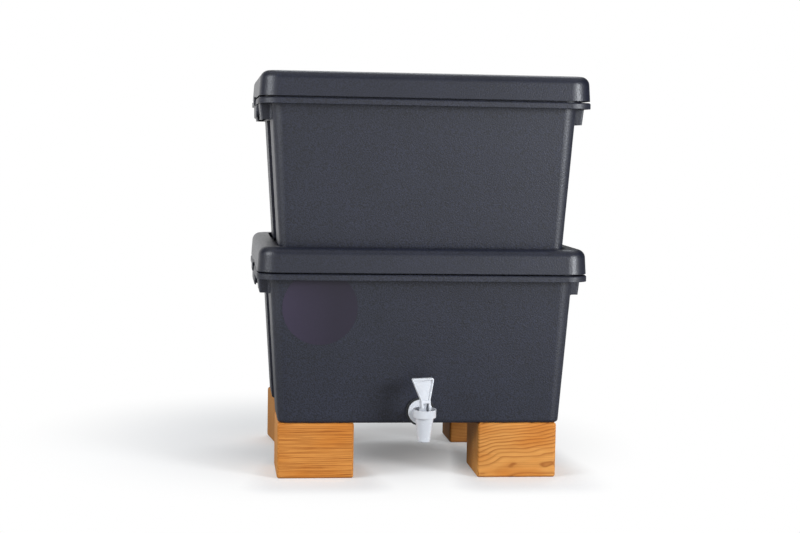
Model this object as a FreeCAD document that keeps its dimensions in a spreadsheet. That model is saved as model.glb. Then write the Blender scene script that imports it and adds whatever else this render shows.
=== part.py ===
import FreeCAD, Part
import math
import os
import re

import Sketcher
from FreeCAD import Placement, Rotation, Vector

# Two-tier wormery: a liquid sump with a lever tap stands on four timber blocks, and a
# worm chamber stands in the recess of the sump's lid.
# Frame: millimetres, +Z up, the tap faces -Y, origin under the middle of the whole object.

SIZES = [
    # timber feet
    ("FrontLeftLength", 103.0, "front left foot block along X"),
    ("FrontRightLength", 108.0, "front right foot block along X"),
    ("RearBlockLength", 105.0, "rear foot blocks along X"),
    ("BlockDepth", 98.0, "front foot block along Y"),
    ("RearBlockDepth", 76.0, "rear foot block along Y"),
    ("BlockHeight", 75.0, "foot block height"),
    ("BlockEdge", 3.5, "rounding of the foot blocks' edges"),
    ("BlockInset", 1.5, "front blocks' faces behind the tub base's front"),
    ("FrontLeftInset", -0.6, "front left block's outer face inside the tub base's end"),
    ("FrontRightInset", 3.3, "front right block's outer face inside the tub base's end"),
    ("RearLeftInset", 1.5, "rear left block's outer face inside the tub base's end"),
    ("RearRightInset", 7.0, "rear right block's outer face inside the tub base's end"),
    ("RearOverhang", 20.5, "rear blocks out behind the tub base"),
    ("FrontLeftTurn", 0.0, "degrees that the front left block stands turned"),
    ("FrontRightTurn", -0.2, "degrees that the front right block stands turned"),
    ("RearLeftTurn", 7.0, "degrees that the rear left block stands turned"),
    ("RearRightTurn", 0.6, "degrees that the rear right block stands turned"),
    # tubs
    ("BaseLength", 382.0, "tub base along X"),
    ("BaseDepth", 316.0, "tub base along Y"),
    ("BaseCorner", 13.0, "plan radius of the tub base's corners"),
    ("BaseEdge", 4.5, "rounding under the tub base"),
    ("WallRise", 194.5, "tub base to the underside of the flange"),
    ("WallFlare", 13.0, "how far each wall leans out over the wall rise"),
    ("CornerGrowth", 5.0, "extra corner radius at the top of the wall"),
    ("Wall", 3.0, "moulded wall thickness"),
    ("RecessInset", 111.0, "end wall's shallow recess short of the tub's sides at the flange"),
    ("RecessDepth", 5.0, "depth of the end wall recess"),
    ("FlangeHeight", 8.0, "height of the turned-down flange"),
    ("FlangeReach", 0.8, "how far the flange stands out past the lid's skirt"),
    ("FlangeEdge", 1.5, "bevel along the flange's upper edge"),
    ("RimRise", 31.8, "flange top to rim top"),
    ("RimOffset", 6.5, "rim outside the wall at the flange, at the ends"),
    ("RimOffsetFront", 6.0, "rim outside the wall at the flange, front and back"),
    # grips under the flange ends
    ("GripDrop", 21.0, "how far the hand grip hangs below the flange"),
    ("ShoulderReach", 2.0, "shoulder behind the grip, outside the wall at the flange"),
    ("ShoulderInset", 23.0, "shoulder short of the tub's sides at the flange"),
    ("GripInset", 31.0, "grip short of the tub's sides at the flange"),
    ("GripReach", 15.5, "grip face outside the wall at the flange"),
    ("GripTaper", 3.0, "how far the grip face leans in towards its foot"),
    ("GripWall", 2.6, "thickness of the grip's skin"),
    ("LugWidth", 118.0, "bulged middle of the grip along Y"),
    ("LugReach", 17.5, "bulge outside the wall at the flange"),
    ("LugDrop", 18.0, "how far the bulge hangs below the flange"),
    ("LugCorner", 9.0, "rounding of the bulge's lower corners"),
    ("LugEdge", 1.8, "rounding round the bulge's outer face"),
    # lids
    ("LidOverhang", 17.0, "lid's skirt out past the top of the tub's wall, at each end"),
    ("LidOverhangFront", 19.0, "lid's skirt out past the top of the tub's wall, front and back"),
    ("LidCorner", 29.0, "plan radius of the lid's corners"),
    ("LidHeight", 32.8, "skirt foot to lid top"),
    ("LidDraft", 2.3, "how far each side of the lid leans in over its height"),
    ("LidEdge", 11.5, "rounding of the lid's top edge"),
    ("LidRecess", 6.8, "depth of the lid's stacking recess"),
    ("ChannelInset", 4.3, "extra thickness outside the channel that takes the tub's rim"),
    ("StackGap", 4.0, "play round the tub base in the lid's recess"),
    ("RecessFlare", 1.5, "how far the recess's sides lean out"),
    ("ClipWidth", 50.0, "clip at each end of the lid along Y"),
    ("ClipDrop", 10.5, "how far the clip hangs below the skirt"),
    ("ClipRise", 1.0, "how far the clip runs up the skirt"),
    ("ClipThick", 1.6, "thickness of the clip"),
    ("ClipGap", 0.4, "play between the clip and the flange"),
    ("GateMark", 1.4, "radius of the small moulding marks on the lid's rim"),
    ("GateInset", 16.5, "moulding marks in from the end of the lid's skirt"),
    ("GateY", 78.0, "moulding marks from the middle, along Y"),
    # drain and air holes
    ("DrainHole", 3.0, "radius of a drain hole"),
    ("DrainPitchX", 56.0, "drain holes apart along X"),
    ("DrainPitchY", 62.0, "drain holes apart along Y"),
    ("DrainColumns", 6, "drain holes along X"),
    ("DrainRows", 4, "drain holes along Y"),
    ("AirHole", 4.0, "radius of an air hole"),
    ("AirPitch", 24.0, "air holes apart"),
    ("AirColumns", 5, "air holes along X"),
    ("AirRows", 3, "air holes along Y"),
    ("MeshThick", 0.8, "thickness of the woven meshes"),
    ("MeshPlay", 4.0, "drain mesh short of the chamber's walls"),
    ("AirMeshMargin", 14.0, "air mesh past the outermost air holes"),
    # label
    ("LabelRadius", 50.0, "round label"),
    ("LabelThick", 0.3, "thickness of the label"),
    ("LabelInset", 53.6, "label centre in from the tub base's left end"),
    ("LabelDrop", 38.1, "label centre below the flange"),
    ("LabelTrim", 0.6, "label's cut top below the flange"),
    # tap
    ("TapX", 0.0, "tap from the tub's middle, along X"),
    ("TapRise", 16.5, "tap hole above the tub base"),
    ("TapReach", 45.0, "wall to the spout's axis"),
    ("ShankRadius", 7.0, "threaded shank"),
    ("ShankPlay", 0.5, "tub hole larger than the shank"),
    ("ShankLength", 17.0, "shank behind the wall's outer face"),
    ("OuterWasherLip", 2.8, "outer rubber washer past the tap's flange"),
    ("OuterWasherThick", 2.6, "thickness of the outer washer"),
    ("InnerWasherLip", 4.6, "inner rubber washer past the shank"),
    ("InnerWasherThick", 2.2, "thickness of the inner washer"),
    ("NutWall", 3.2, "back nut's thickness round the shank, at its flats"),
    ("NutThick", 7.0, "back nut along the shank"),
    ("TapFlangeLip", 9.6, "tap's flange past the shank"),
    ("TapFlangeThick", 2.6, "thickness of the tap's flange"),
    ("NeckWall", 3.1, "thickness of the neck round the waterway"),
    ("NeckRootStep", 4.0, "how much wider the neck is where it meets the flange"),
    ("NeckDrop", 4.2, "how far the neck dips towards the barrel"),
    ("NeckFlare", 17.0, "length of the neck's flared root"),
    ("WaterwayRadius", 3.4, "waterway through the shank and neck"),
    ("WaterwayDrop", 2.2, "waterway below the tap hole's axis"),
    ("BarrelWall", 3.7, "thickness of the spout barrel round the valve chamber"),
    ("BarrelTop", 6.6, "barrel top above the tap hole's axis"),
    ("SpoutWall", 1.9, "thickness of the spout at its mouth"),
    ("SpoutDrop", 30.0, "spout's mouth below the tap hole's axis"),
    ("MouthRadius", 6.2, "bore of the spout"),
    ("SeatBore", 4.8, "radius of the opening in the valve seat"),
    ("SeatThick", 3.5, "thickness of the valve seat"),
    ("MouthEdge", 1.2, "rounding at the spout's mouth"),
    ("ChamberRadius", 8.6, "valve chamber"),
    ("SeatDrop", 9.5, "valve seat below the tap hole's axis"),
    ("GasketThick", 1.4, "gasket between barrel and bonnet"),
    ("BonnetWall", 2.8, "thickness of the bonnet round the barrel"),
    ("BonnetFoot", 3.0, "bonnet's foot above the tap hole's axis"),
    ("BonnetFloor", 2.2, "thickness of the bonnet's floor"),
    ("BonnetCup", 3.2, "depth of the cup in the bonnet's top"),
    ("BonnetLip", 1.8, "thickness of the cup's lip"),
    ("ThreadPlay", 0.1, "gap in the screwed joints"),
    ("StemRadius", 2.6, "lifting stem"),
    ("StemPlay", 0.05, "running gap round the stem and the lever pin"),
    ("StemHeadStep", 1.0, "how far the head, drilled for the lever pin, is wider than the stem"),
    ("StemHeadRise", 5.5, "top of the head above the lever pin"),
    ("StemSink", 2.6, "stem's foot in the plug"),
    ("PlugPlay", 1.2, "rubber valve plug short of the chamber's wall"),
    ("PlugThick", 4.0, "thickness of the plug"),
    ("SpigotPlay", 0.5, "play round the plug's spigot in the seat"),
    ("PlugSpigotDrop", 2.0, "length of that spigot"),
    ("SpringInset", 1.2, "middle of the spring's wire inside the plug's edge"),
    ("SpringWire", 0.6, "radius of the spring's wire"),
    ("SpringTurns", 5, "turns of the spring"),
    ("SpringPlay", 0.15, "gap at each end of the spring"),
    ("Lift", 4.0, "stem's lift with the lever right forward"),
    # lever
    ("LeverSwivel", 10.0, "degrees that the lever stands turned about the spout's axis"),
    ("PinRadius", 1.3, "lever pin"),
    ("PinRise", 5.0, "lever pin above the bonnet's floor"),
    ("CamGap", 0.4, "play under the lever's cam foot"),
    ("LegThick", 2.4, "thickness of each of the lever's two legs"),
    ("SlotPlay", 0.5, "slot between the legs wider than the stem's head"),
    ("FootBack", 4.2, "lever's foot behind the pin"),
    ("ShinReach", 4.5, "front of the lever's neck before the pin"),
    ("SlotRise", 7.0, "top of the slot above the pin"),
    ("BladeRise", 37.2, "lever's top above the pin"),
    ("BladeWidth", 31.0, "lever across its top"),
    ("BladeFoot", 11.0, "foot of the flared blade above the pin"),
    ("BladeThick", 5.0, "thickness of the blade's rim"),
    ("BladeCorner", 2.0, "rounding of the blade's top corners"),
    ("FieldDepth", 1.2, "depth of the blade's sunk field"),
    ("BladeRim", 2.2, "width of the raised rim round the field"),
    ("BladeLean", 14.0, "how far the blade's top stands behind its foot"),
]

doc = FreeCAD.newDocument("wormery")
sheet = doc.addObject("Spreadsheet::Sheet", "Sizes")
for row, (alias, value, meaning) in enumerate(SIZES, start=1):
    sheet.set(f"A{row}", alias)
    sheet.set(f"B{row}", str(value))
    sheet.setAlias(f"B{row}", alias)
    sheet.set(f"C{row}", meaning)
doc.recompute()


def size(alias):
    return float(getattr(sheet, alias))


def expr(text):
    """Expression over the sheet: every capitalised name becomes a cell of the sheet."""
    return re.sub(r"\b[A-Z]\w*", r"Sizes.\g<0>", text)


def value_of(text):
    """Value of such an expression now."""
    return float(sheet.evalExpression(text))


def new_body(label):
    body = doc.addObject("PartDesign::Body", label)
    body.Label = label
    return body


def origin_plane(body, role):
    return next(item for item in body.Origin.OriginFeatures if item.Role == role)


def sketch_on(body, name, role="XY_Plane", height="0"):
    """Sketch parallel to one of the body's own planes, at a height bound to the sheet."""
    sketch = body.newObject("Sketcher::SketchObject", name)
    sketch.AttachmentSupport = [(origin_plane(body, role), "")]
    sketch.MapMode = "FlatFace"
    sketch.setExpression("AttachmentOffset.Base.z", expr(height))
    return sketch


def drive(sketch, constraint, text):
    """Adds a dimension to the sketch and binds it to the sheet."""
    index = sketch.addConstraint(constraint)
    sketch.setExpression(f"Constraints[{index}]", expr(text))


def rounded_rectangle(sketch, length, depth, radius, across=100.0, along=80.0, corner=10.0):
    """Rectangle with round corners about the sketch's origin. The last three values only
    place the geometry before its dimensions are bound."""
    first = sketch.GeometryCount
    half_x = across / 2
    half_y = along / 2
    centres = [(half_x - corner, half_y - corner), (corner - half_x, half_y - corner),
               (corner - half_x, corner - half_y), (half_x - corner, corner - half_y)]
    normal = Vector(0, 0, 1)
    for quarter, (x, y) in enumerate(centres):
        circle = Part.Circle(Vector(x, y, 0), normal, corner)
        start = quarter * math.pi / 2
        sketch.addGeometry(Part.ArcOfCircle(circle, start, start + math.pi / 2), False)
    for quarter in range(4):
        start = sketch.getPoint(first + quarter, 2)
        end = sketch.getPoint(first + (quarter + 1) % 4, 1)
        sketch.addGeometry(Part.LineSegment(start, end), False)
    for quarter in range(4):
        arc = first + quarter
        line = first + 4 + quarter
        following = first + (quarter + 1) % 4
        sketch.addConstraint(Sketcher.Constraint("Tangent", arc, 2, line, 1))
        sketch.addConstraint(Sketcher.Constraint("Tangent", line, 2, following, 1))
        sketch.addConstraint(Sketcher.Constraint("Vertical" if quarter % 2 else "Horizontal", line))
        if quarter:
            sketch.addConstraint(Sketcher.Constraint("Equal", first, arc))
    sketch.addConstraint(Sketcher.Constraint("Symmetric", first, 3, first + 2, 3, -1, 1))
    drive(sketch, Sketcher.Constraint("Radius", first, corner), radius)
    drive(sketch, Sketcher.Constraint("DistanceX", first + 1, 3, first, 3, across - 2 * corner),
          f"( {length} ) - 2 * ( {radius} )")
    drive(sketch, Sketcher.Constraint("DistanceY", first + 3, 3, first, 3, along - 2 * corner),
          f"( {depth} ) - 2 * ( {radius} )")
    return sketch


def outline(sketch, corners):
    """Closed straight-sided outline. Each corner is a pair of expressions over the sheet."""
    first = sketch.GeometryCount
    points = [Vector(value_of(x), value_of(y), 0) for x, y in corners]
    count = len(points)
    for number in range(count):
        end = points[(number + 1) % count]
        sketch.addGeometry(Part.LineSegment(points[number], end), False)
    for number in range(count):
        following = first + (number + 1) % count
        sketch.addConstraint(Sketcher.Constraint("Coincident", first + number, 2, following, 1))
    for number, (x, y) in enumerate(corners):
        line = first + number
        drive(sketch, Sketcher.Constraint("DistanceX", -1, 1, line, 1, points[number].x), x)
        drive(sketch, Sketcher.Constraint("DistanceY", -1, 1, line, 1, points[number].y), y)
    return sketch


def circle(sketch, radius, x="0", y="0"):
    number = sketch.addGeometry(Part.Circle(Vector(value_of(x), value_of(y), 0),
                                            Vector(0, 0, 1), value_of(radius)), False)
    drive(sketch, Sketcher.Constraint("Radius", number, value_of(radius)), radius)
    if x == "0" and y == "0":
        sketch.addConstraint(Sketcher.Constraint("Coincident", number, 3, -1, 1))
    else:
        drive(sketch, Sketcher.Constraint("DistanceX", -1, 1, number, 3, value_of(x)), x)
        drive(sketch, Sketcher.Constraint("DistanceY", -1, 1, number, 3, value_of(y)), y)
    return sketch


def pad(body, name, sketch, length, reverse=False, midplane=False):
    feature = body.newObject("PartDesign::Pad", name)
    feature.Profile = sketch
    feature.setExpression("Length", expr(length))
    feature.Reversed = reverse
    feature.Midplane = midplane
    return feature


def pocket(body, name, sketch, length, upward=True):
    """Cut from the sketch, up its normal or down."""
    feature = body.newObject("PartDesign::Pocket", name)
    feature.Profile = sketch
    feature.setExpression("Length", expr(length))
    feature.Reversed = upward
    return feature


def loft(body, name, low, high, kind="Additive"):
    feature = body.newObject(f"PartDesign::{kind}Loft", name)
    feature.Profile = low
    feature.Sections = [high]
    feature.Ruled = True
    return feature


def revolve(body, name, sketch, kind="Revolution"):
    """Full turn about the sketch's vertical axis."""
    feature = body.newObject(f"PartDesign::{kind}", name)
    feature.Profile = sketch
    feature.ReferenceAxis = (sketch, ["V_Axis"])
    feature.Angle = 360
    return feature


def mirrored(body, name, features, role):
    feature = body.newObject("PartDesign::Mirrored", name)
    feature.Originals = features
    feature.MirrorPlane = (origin_plane(body, role), [""])
    body.Tip = feature
    return feature


def round_edges(body, name, radius, wanted, kind="Fillet"):
    """Rounds or bevels the edges of the body's last feature that the test picks."""
    doc.recompute()
    base = body.Tip
    names = [f"Edge{number}" for number, edge in enumerate(base.Shape.Edges, start=1)
             if wanted(edge)]
    feature = body.newObject(f"PartDesign::{kind}", name)
    feature.Base = (base, names)
    feature.setExpression("Radius" if kind == "Fillet" else "Size", expr(radius))
    return feature


def level(edge, height):
    """True for an edge that lies flat at a height."""
    box = edge.BoundBox
    return abs(box.ZMin - height) < 0.01 and abs(box.ZMax - height) < 0.01


def upright(edge, reach):
    """True for an edge in the upright plane at a distance left or right of the middle."""
    box = edge.BoundBox
    return abs(abs(box.XMin) - reach) < 0.01 and box.XLength < 0.01


def hole_grid(body, label, face_height, radius, columns, rows, pitch_x, pitch_y, depth):
    """Rows of round holes, cut downwards from a level."""
    corner_x = f"0 - ( {columns} - 1 ) * {pitch_x} / 2"
    corner_y = f"0 - ( {rows} - 1 ) * {pitch_y} / 2"
    sketch = sketch_on(body, f"{label}Sketch", height=face_height)
    circle(sketch, radius, corner_x, corner_y)
    first = pocket(body, f"{label}First", sketch, depth, upward=False)
    pattern = body.newObject("PartDesign::MultiTransform", f"{label}Grid")
    lines = []
    for axis, count, pitch in (("H_Axis", columns, pitch_x), ("V_Axis", rows, pitch_y)):
        line = body.newObject("PartDesign::LinearPattern", f"{label}{axis[0]}")
        line.Direction = (sketch, [axis])
        line.setExpression("Length", expr(f"( {count} - 1 ) * {pitch}"))
        line.setExpression("Occurrences", expr(count))
        lines.append(line)
    pattern.Originals = [first]
    pattern.Transformations = lines
    body.Tip = pattern
    return pattern


# Sizes that follow from the sheet's: walls at the flange, lids, and the tap's fitted parts.

WALL_HALF = "(BaseLength / 2 + WallFlare)"
WALL_LENGTH = "(BaseLength + 2 * WallFlare)"
WALL_DEPTH = "(BaseDepth + 2 * WallFlare)"
LID_LENGTH = f"({WALL_LENGTH} + 2 * LidOverhang)"
LID_DEPTH = f"({WALL_DEPTH} + 2 * LidOverhangFront)"
LABEL_RISE = "(WallRise - LabelDrop)"
TAP_FLANGE_RADIUS = "(ShankRadius + TapFlangeLip)"
NECK_RADIUS = "(WaterwayRadius + NeckWall)"
BARREL_RADIUS = "(ChamberRadius + BarrelWall)"
SPOUT_RADIUS = "(MouthRadius + SpoutWall)"
BONNET_RADIUS = f"({BARREL_RADIUS} + ThreadPlay + BonnetWall)"
PLUG_RADIUS = "(ChamberRadius - PlugPlay)"
SPIGOT_RADIUS = "(SeatBore - SpigotPlay)"
SPRING_RADIUS = f"({PLUG_RADIUS} - SpringInset)"
STEM_HEAD = "(StemRadius + StemHeadStep)"
FOOT_SLOT = f"(2 * {STEM_HEAD} + SlotPlay)"
FOOT_WIDTH = f"({FOOT_SLOT} + 2 * LegThick)"

# Tub: one moulding, used for the sump and for the worm chamber.

RIM_LENGTH = f"{WALL_LENGTH} + 2 * RimOffset"
RIM_DEPTH = f"{WALL_DEPTH} + 2 * RimOffsetFront"
SHOULDER_WIDTH = f"({WALL_DEPTH} - 2 * ShoulderInset)"
GRIP_WIDTH = f"({WALL_DEPTH} - 2 * GripInset)"
RECESS_HALF = f"({WALL_DEPTH} / 2 - RecessInset)"
FLANGE_LENGTH = f"({LID_LENGTH} + 2 * FlangeReach)"
FLANGE_DEPTH = f"({LID_DEPTH} + 2 * FlangeReach)"
FLANGE_TOP = "WallRise + FlangeHeight"
GRIP_FOOT = "WallRise - GripDrop"
LEDGE_UNDER = "WallRise + FlangeHeight - Wall"


def end_slab(body, name, height, inner, outer, half_width):
    """Rectangle at the tub's right end, from inner to outer, measured from the wall's face."""
    face = f"BaseLength / 2 + WallFlare * ( {height} ) / WallRise"
    sketch = sketch_on(body, name, height=height)
    return outline(sketch, [
        (f"{face} + {inner}", f"0 - ( {half_width} )"),
        (f"{face} + {outer}", f"0 - ( {half_width} )"),
        (f"{face} + {outer}", half_width),
        (f"{face} + {inner}", half_width),
    ])


def add_tub_shell(body):
    """Outside: leaning walls, flange, rim, shoulders and grips."""
    low = rounded_rectangle(sketch_on(body, "BaseOutline"),
                            "BaseLength", "BaseDepth", "BaseCorner")
    high = rounded_rectangle(sketch_on(body, "WallTopOutline", height="WallRise"),
                             WALL_LENGTH, WALL_DEPTH, "BaseCorner + CornerGrowth")
    loft(body, "Walls", low, high)
    shoulder = sketch_on(body, "ShoulderOutline", height=GRIP_FOOT)
    rounded_rectangle(shoulder, f"{WALL_LENGTH} + 2 * ShoulderReach", SHOULDER_WIDTH, "Wall")
    pad(body, "Shoulder", shoulder, "GripDrop")
    low = sketch_on(body, "GripFootOutline", height=GRIP_FOOT)
    rounded_rectangle(low, f"{WALL_LENGTH} + 2 * GripReach - 2 * GripTaper",
                      GRIP_WIDTH, "GripWall")
    high = sketch_on(body, "GripTopOutline", height=LEDGE_UNDER)
    rounded_rectangle(high, f"{WALL_LENGTH} + 2 * GripReach", GRIP_WIDTH, "GripWall")
    loft(body, "Grip", low, high)
    lug = sketch_on(body, "LugOutline", role="YZ_Plane")
    add_lug_outline(lug, "0", "LugCorner")
    pad(body, "Lug", lug, f"2 * ( {WALL_HALF} + LugReach )", midplane=True)
    lug_face = value_of(f"{WALL_HALF} + LugReach")
    round_edges(body, "LugRounding", "LugEdge", lambda edge: upright(edge, lug_face))
    flange = sketch_on(body, "FlangeOutline", height="WallRise")
    rounded_rectangle(flange, FLANGE_LENGTH, FLANGE_DEPTH, "LidCorner + FlangeReach")
    pad(body, "Flange", flange, "FlangeHeight")
    flange_top = value_of(FLANGE_TOP)
    round_edges(body, "FlangeBevel", "FlangeEdge", lambda edge: level(edge, flange_top), "Chamfer")
    rim = sketch_on(body, "RimOutline", height=FLANGE_TOP)
    rounded_rectangle(rim, RIM_LENGTH, RIM_DEPTH, "BaseCorner + CornerGrowth + RimOffset")
    pad(body, "Rim", rim, "RimRise")


def add_lug_outline(sketch, inset, corner):
    """End view of the grip's bulge: straight top, two round lower corners."""
    half = value_of(f"LugWidth / 2 - {inset}")
    foot = value_of(f"WallRise - LugDrop")
    head = value_of(LEDGE_UNDER)
    radius = value_of(corner)
    points = [Vector(half, head, 0), Vector(-half, head, 0), Vector(-half, foot + radius, 0),
              Vector(radius - half, foot, 0), Vector(half - radius, foot, 0),
              Vector(half, foot + radius, 0)]
    for start, end in ((0, 1), (1, 2), (3, 4), (5, 0)):
        sketch.addGeometry(Part.LineSegment(points[start], points[end]), False)
    normal = Vector(0, 0, 1)
    left = Part.Circle(Vector(radius - half, foot + radius, 0), normal, radius)
    right = Part.Circle(Vector(half - radius, foot + radius, 0), normal, radius)
    sketch.addGeometry(Part.ArcOfCircle(left, math.pi, 1.5 * math.pi), False)
    sketch.addGeometry(Part.ArcOfCircle(right, 1.5 * math.pi, 2 * math.pi), False)
    sketch.addConstraint(Sketcher.Constraint("Coincident", 0, 2, 1, 1))
    sketch.addConstraint(Sketcher.Constraint("Tangent", 1, 2, 4, 1))
    sketch.addConstraint(Sketcher.Constraint("Tangent", 4, 2, 2, 1))
    sketch.addConstraint(Sketcher.Constraint("Tangent", 2, 2, 5, 1))
    sketch.addConstraint(Sketcher.Constraint("Tangent", 5, 2, 3, 1))
    sketch.addConstraint(Sketcher.Constraint("Coincident", 3, 2, 0, 1))
    sketch.addConstraint(Sketcher.Constraint("Horizontal", 2))
    sketch.addConstraint(Sketcher.Constraint("Vertical", 1))
    sketch.addConstraint(Sketcher.Constraint("Equal", 4, 5))
    sketch.addConstraint(Sketcher.Constraint("Symmetric", 0, 1, 0, 2, -2))
    drive(sketch, Sketcher.Constraint("Radius", 4, radius), corner)
    drive(sketch, Sketcher.Constraint("DistanceX", 0, 2, 0, 1, 2 * half),
          f"LugWidth - 2 * ( {inset} )")
    drive(sketch, Sketcher.Constraint("DistanceY", -1, 1, 0, 1, head), LEDGE_UNDER)
    drive(sketch, Sketcher.Constraint("DistanceY", -1, 1, 2, 1, foot), "WallRise - LugDrop")
    return sketch


def cut_tub_hollows(body):
    """Inside of the tub, underside of the flange and finger space behind the grips."""
    inner_length = "BaseLength - 2 * Wall"
    inner_depth = "BaseDepth - 2 * Wall"
    floor_growth = "2 * WallFlare * Wall / WallRise"
    low = rounded_rectangle(sketch_on(body, "FloorOutline", height="Wall"),
                            f"{inner_length} + {floor_growth}", f"{inner_depth} + {floor_growth}",
                            "BaseCorner - Wall")
    full_growth = f"2 * WallFlare * ( {FLANGE_TOP} ) / WallRise"
    high = rounded_rectangle(sketch_on(body, "InnerTopOutline", height=FLANGE_TOP),
                             f"{inner_length} + {full_growth}", f"{inner_depth} + {full_growth}",
                             "BaseCorner + CornerGrowth - Wall")
    loft(body, "Inside", low, high, "Subtractive")
    mouth = sketch_on(body, "MouthOutline", height=FLANGE_TOP)
    rounded_rectangle(mouth, f"{RIM_LENGTH} - 2 * Wall", f"{RIM_DEPTH} - 2 * Wall",
                      "BaseCorner + CornerGrowth + RimOffset - Wall")
    pocket(body, "Mouth", mouth, "RimRise")
    under = sketch_on(body, "FlangeHollowOutline", height="WallRise")
    lip = f"{FLANGE_DEPTH} / 2 - Wall"
    for side in (1, -1):
        outline(under, [(x, f"{side} * ( {y} )") for x, y in (
            ("0 - BaseLength / 2", f"{WALL_DEPTH} / 2"), ("BaseLength / 2", f"{WALL_DEPTH} / 2"),
            ("BaseLength / 2", lip), ("0 - BaseLength / 2", lip))])
    pocket(body, "FlangeHollow", under, "FlangeHeight - Wall")
    behind = sketch_on(body, "GripHollowOutline", height=GRIP_FOOT)
    inner = f"{WALL_HALF} + ShoulderReach"
    grip_face = f"{WALL_HALF} + GripReach - GripTaper - GripWall"
    lug_face = f"{WALL_HALF} + LugReach - GripWall"
    grip_half = f"{GRIP_WIDTH} / 2 - GripWall"
    lug_half = "LugWidth / 2 - GripWall"
    for side in (1, -1):
        rows = [(inner, f"0 - ( {grip_half} )"), (grip_face, f"0 - ( {grip_half} )"),
                (grip_face, f"0 - ( {lug_half} )"), (lug_face, f"0 - ( {lug_half} )"),
                (lug_face, lug_half), (grip_face, lug_half),
                (grip_face, grip_half), (inner, grip_half)]
        outline(behind, [(f"{side} * ( {x} )", y) for x, y in rows])
    pocket(body, "GripHollow", behind, "GripDrop + FlangeHeight - Wall")


def add_end_recess(body):
    """Shallow recess in each end wall: its skin is set inwards, then the recess is cut."""
    top = f"{GRIP_FOOT} + Wall"
    low = end_slab(body, "RecessSkinLow", "0", "0 - RecessDepth - Wall", "0 - Wall / 2",
                   f"{RECESS_HALF} + Wall")
    high = end_slab(body, "RecessSkinHigh", top, "0 - RecessDepth - Wall", "0 - Wall / 2",
                    f"{RECESS_HALF} + Wall")
    skin = loft(body, "RecessSkin", low, high)
    mirrored(body, "RecessSkins", [skin], "YZ_Plane")
    low = end_slab(body, "RecessLow", "0", "0 - RecessDepth", "2 * Wall", RECESS_HALF)
    high = end_slab(body, "RecessHigh", GRIP_FOOT, "0 - RecessDepth", "2 * Wall", RECESS_HALF)
    cut = loft(body, "Recess", low, high, "Subtractive")
    mirrored(body, "Recesses", [cut], "YZ_Plane")


def make_tub(label):
    body = new_body(label)
    add_tub_shell(body)
    cut_tub_hollows(body)
    add_end_recess(body)
    round_edges(body, "BaseRounding", "BaseEdge", lambda edge: level(edge, 0.0))
    return body


# Lid: one moulding, used on both tubs.

TOP_LENGTH = f"{LID_LENGTH} - 2 * LidDraft"
TOP_DEPTH = f"{LID_DEPTH} - 2 * LidDraft"
PLATE_UNDER = "LidHeight - LidRecess - Wall"
SEAT_LENGTH = "BaseLength + 2 * StackGap"
SEAT_DEPTH = "BaseDepth + 2 * StackGap"
SEAT_CORNER = "BaseCorner + StackGap"


def make_lid(label):
    """Lid with its foot at z = 0."""
    body = new_body(label)
    low = rounded_rectangle(sketch_on(body, "SkirtOutline"), LID_LENGTH, LID_DEPTH, "LidCorner")
    high = rounded_rectangle(sketch_on(body, "TopOutline", height="LidHeight"),
                             TOP_LENGTH, TOP_DEPTH, "LidCorner - LidDraft")
    loft(body, "Block", low, high)
    clip = sketch_on(body, "ClipOutline", role="XZ_Plane")
    inner = f"{LID_LENGTH} / 2 + FlangeReach + ClipGap"
    root = f"{LID_LENGTH} / 2 - Wall"
    for side in (1, -1):
        corners = [(f"{inner} + ClipThick", "0 - ClipDrop"), (f"{inner} + ClipThick", "ClipRise"),
                   (root, "ClipRise"), (root, "0"), (inner, "0"),
                   (inner, "0 - ClipDrop")]
        outline(clip, [(f"{side} * ( {x} )", y) for x, y in corners])
    pad(body, "Clips", clip, "ClipWidth", midplane=True)
    top = value_of("LidHeight")
    round_edges(body, "TopRounding", "LidEdge", lambda edge: level(edge, top))
    low = rounded_rectangle(sketch_on(body, "SeatOutline", height="LidHeight - LidRecess"),
                            SEAT_LENGTH, SEAT_DEPTH, SEAT_CORNER)
    high = rounded_rectangle(sketch_on(body, "SeatMouthOutline", height="LidHeight"),
                             f"{SEAT_LENGTH} + 2 * RecessFlare", f"{SEAT_DEPTH} + 2 * RecessFlare",
                             f"{SEAT_CORNER} + RecessFlare")
    loft(body, "Seat", low, high, "Subtractive")
    low = rounded_rectangle(sketch_on(body, "SkirtInnerOutline"), f"{LID_LENGTH} - 2 * Wall",
                            f"{LID_DEPTH} - 2 * Wall", "LidCorner - Wall")
    lean = f"2 * LidDraft * ( {PLATE_UNDER} ) / LidHeight"
    high = rounded_rectangle(sketch_on(body, "PlateUnderOutline", height=PLATE_UNDER),
                             f"{LID_LENGTH} - 2 * Wall - {lean}",
                             f"{LID_DEPTH} - 2 * Wall - {lean}",
                             "LidCorner - Wall - LidDraft / 2")
    loft(body, "Underside", low, high, "Subtractive")
    channel = sketch_on(body, "RimChannelOutline", height=PLATE_UNDER)
    rounded_rectangle(channel, f"{TOP_LENGTH} - 2 * Wall - 2 * ChannelInset",
                      f"{TOP_DEPTH} - 2 * Wall - 2 * ChannelInset",
                      "LidCorner - Wall - LidDraft - ChannelInset")
    rounded_rectangle(channel, f"{SEAT_LENGTH} + 2 * RecessFlare + 2 * Wall",
                      f"{SEAT_DEPTH} + 2 * RecessFlare + 2 * Wall",
                      f"{SEAT_CORNER} + RecessFlare + Wall", across=80.0, along=60.0)
    pocket(body, "RimChannel", channel, "LidRecess")
    marks = sketch_on(body, "GateMarks", height="LidHeight")
    gate_x = f"{LID_LENGTH} / 2 - GateInset"
    for x in (gate_x, f"0 - ( {gate_x} )"):
        for y in ("GateY", "0 - GateY"):
            circle(marks, "GateMark", x, y)
    pocket(body, "GateDimples", marks, "Wall / 3", upward=False)
    return body


def finish(body, placement):
    body.Placement = placement
    nodes.append(body)


nodes = []

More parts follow.
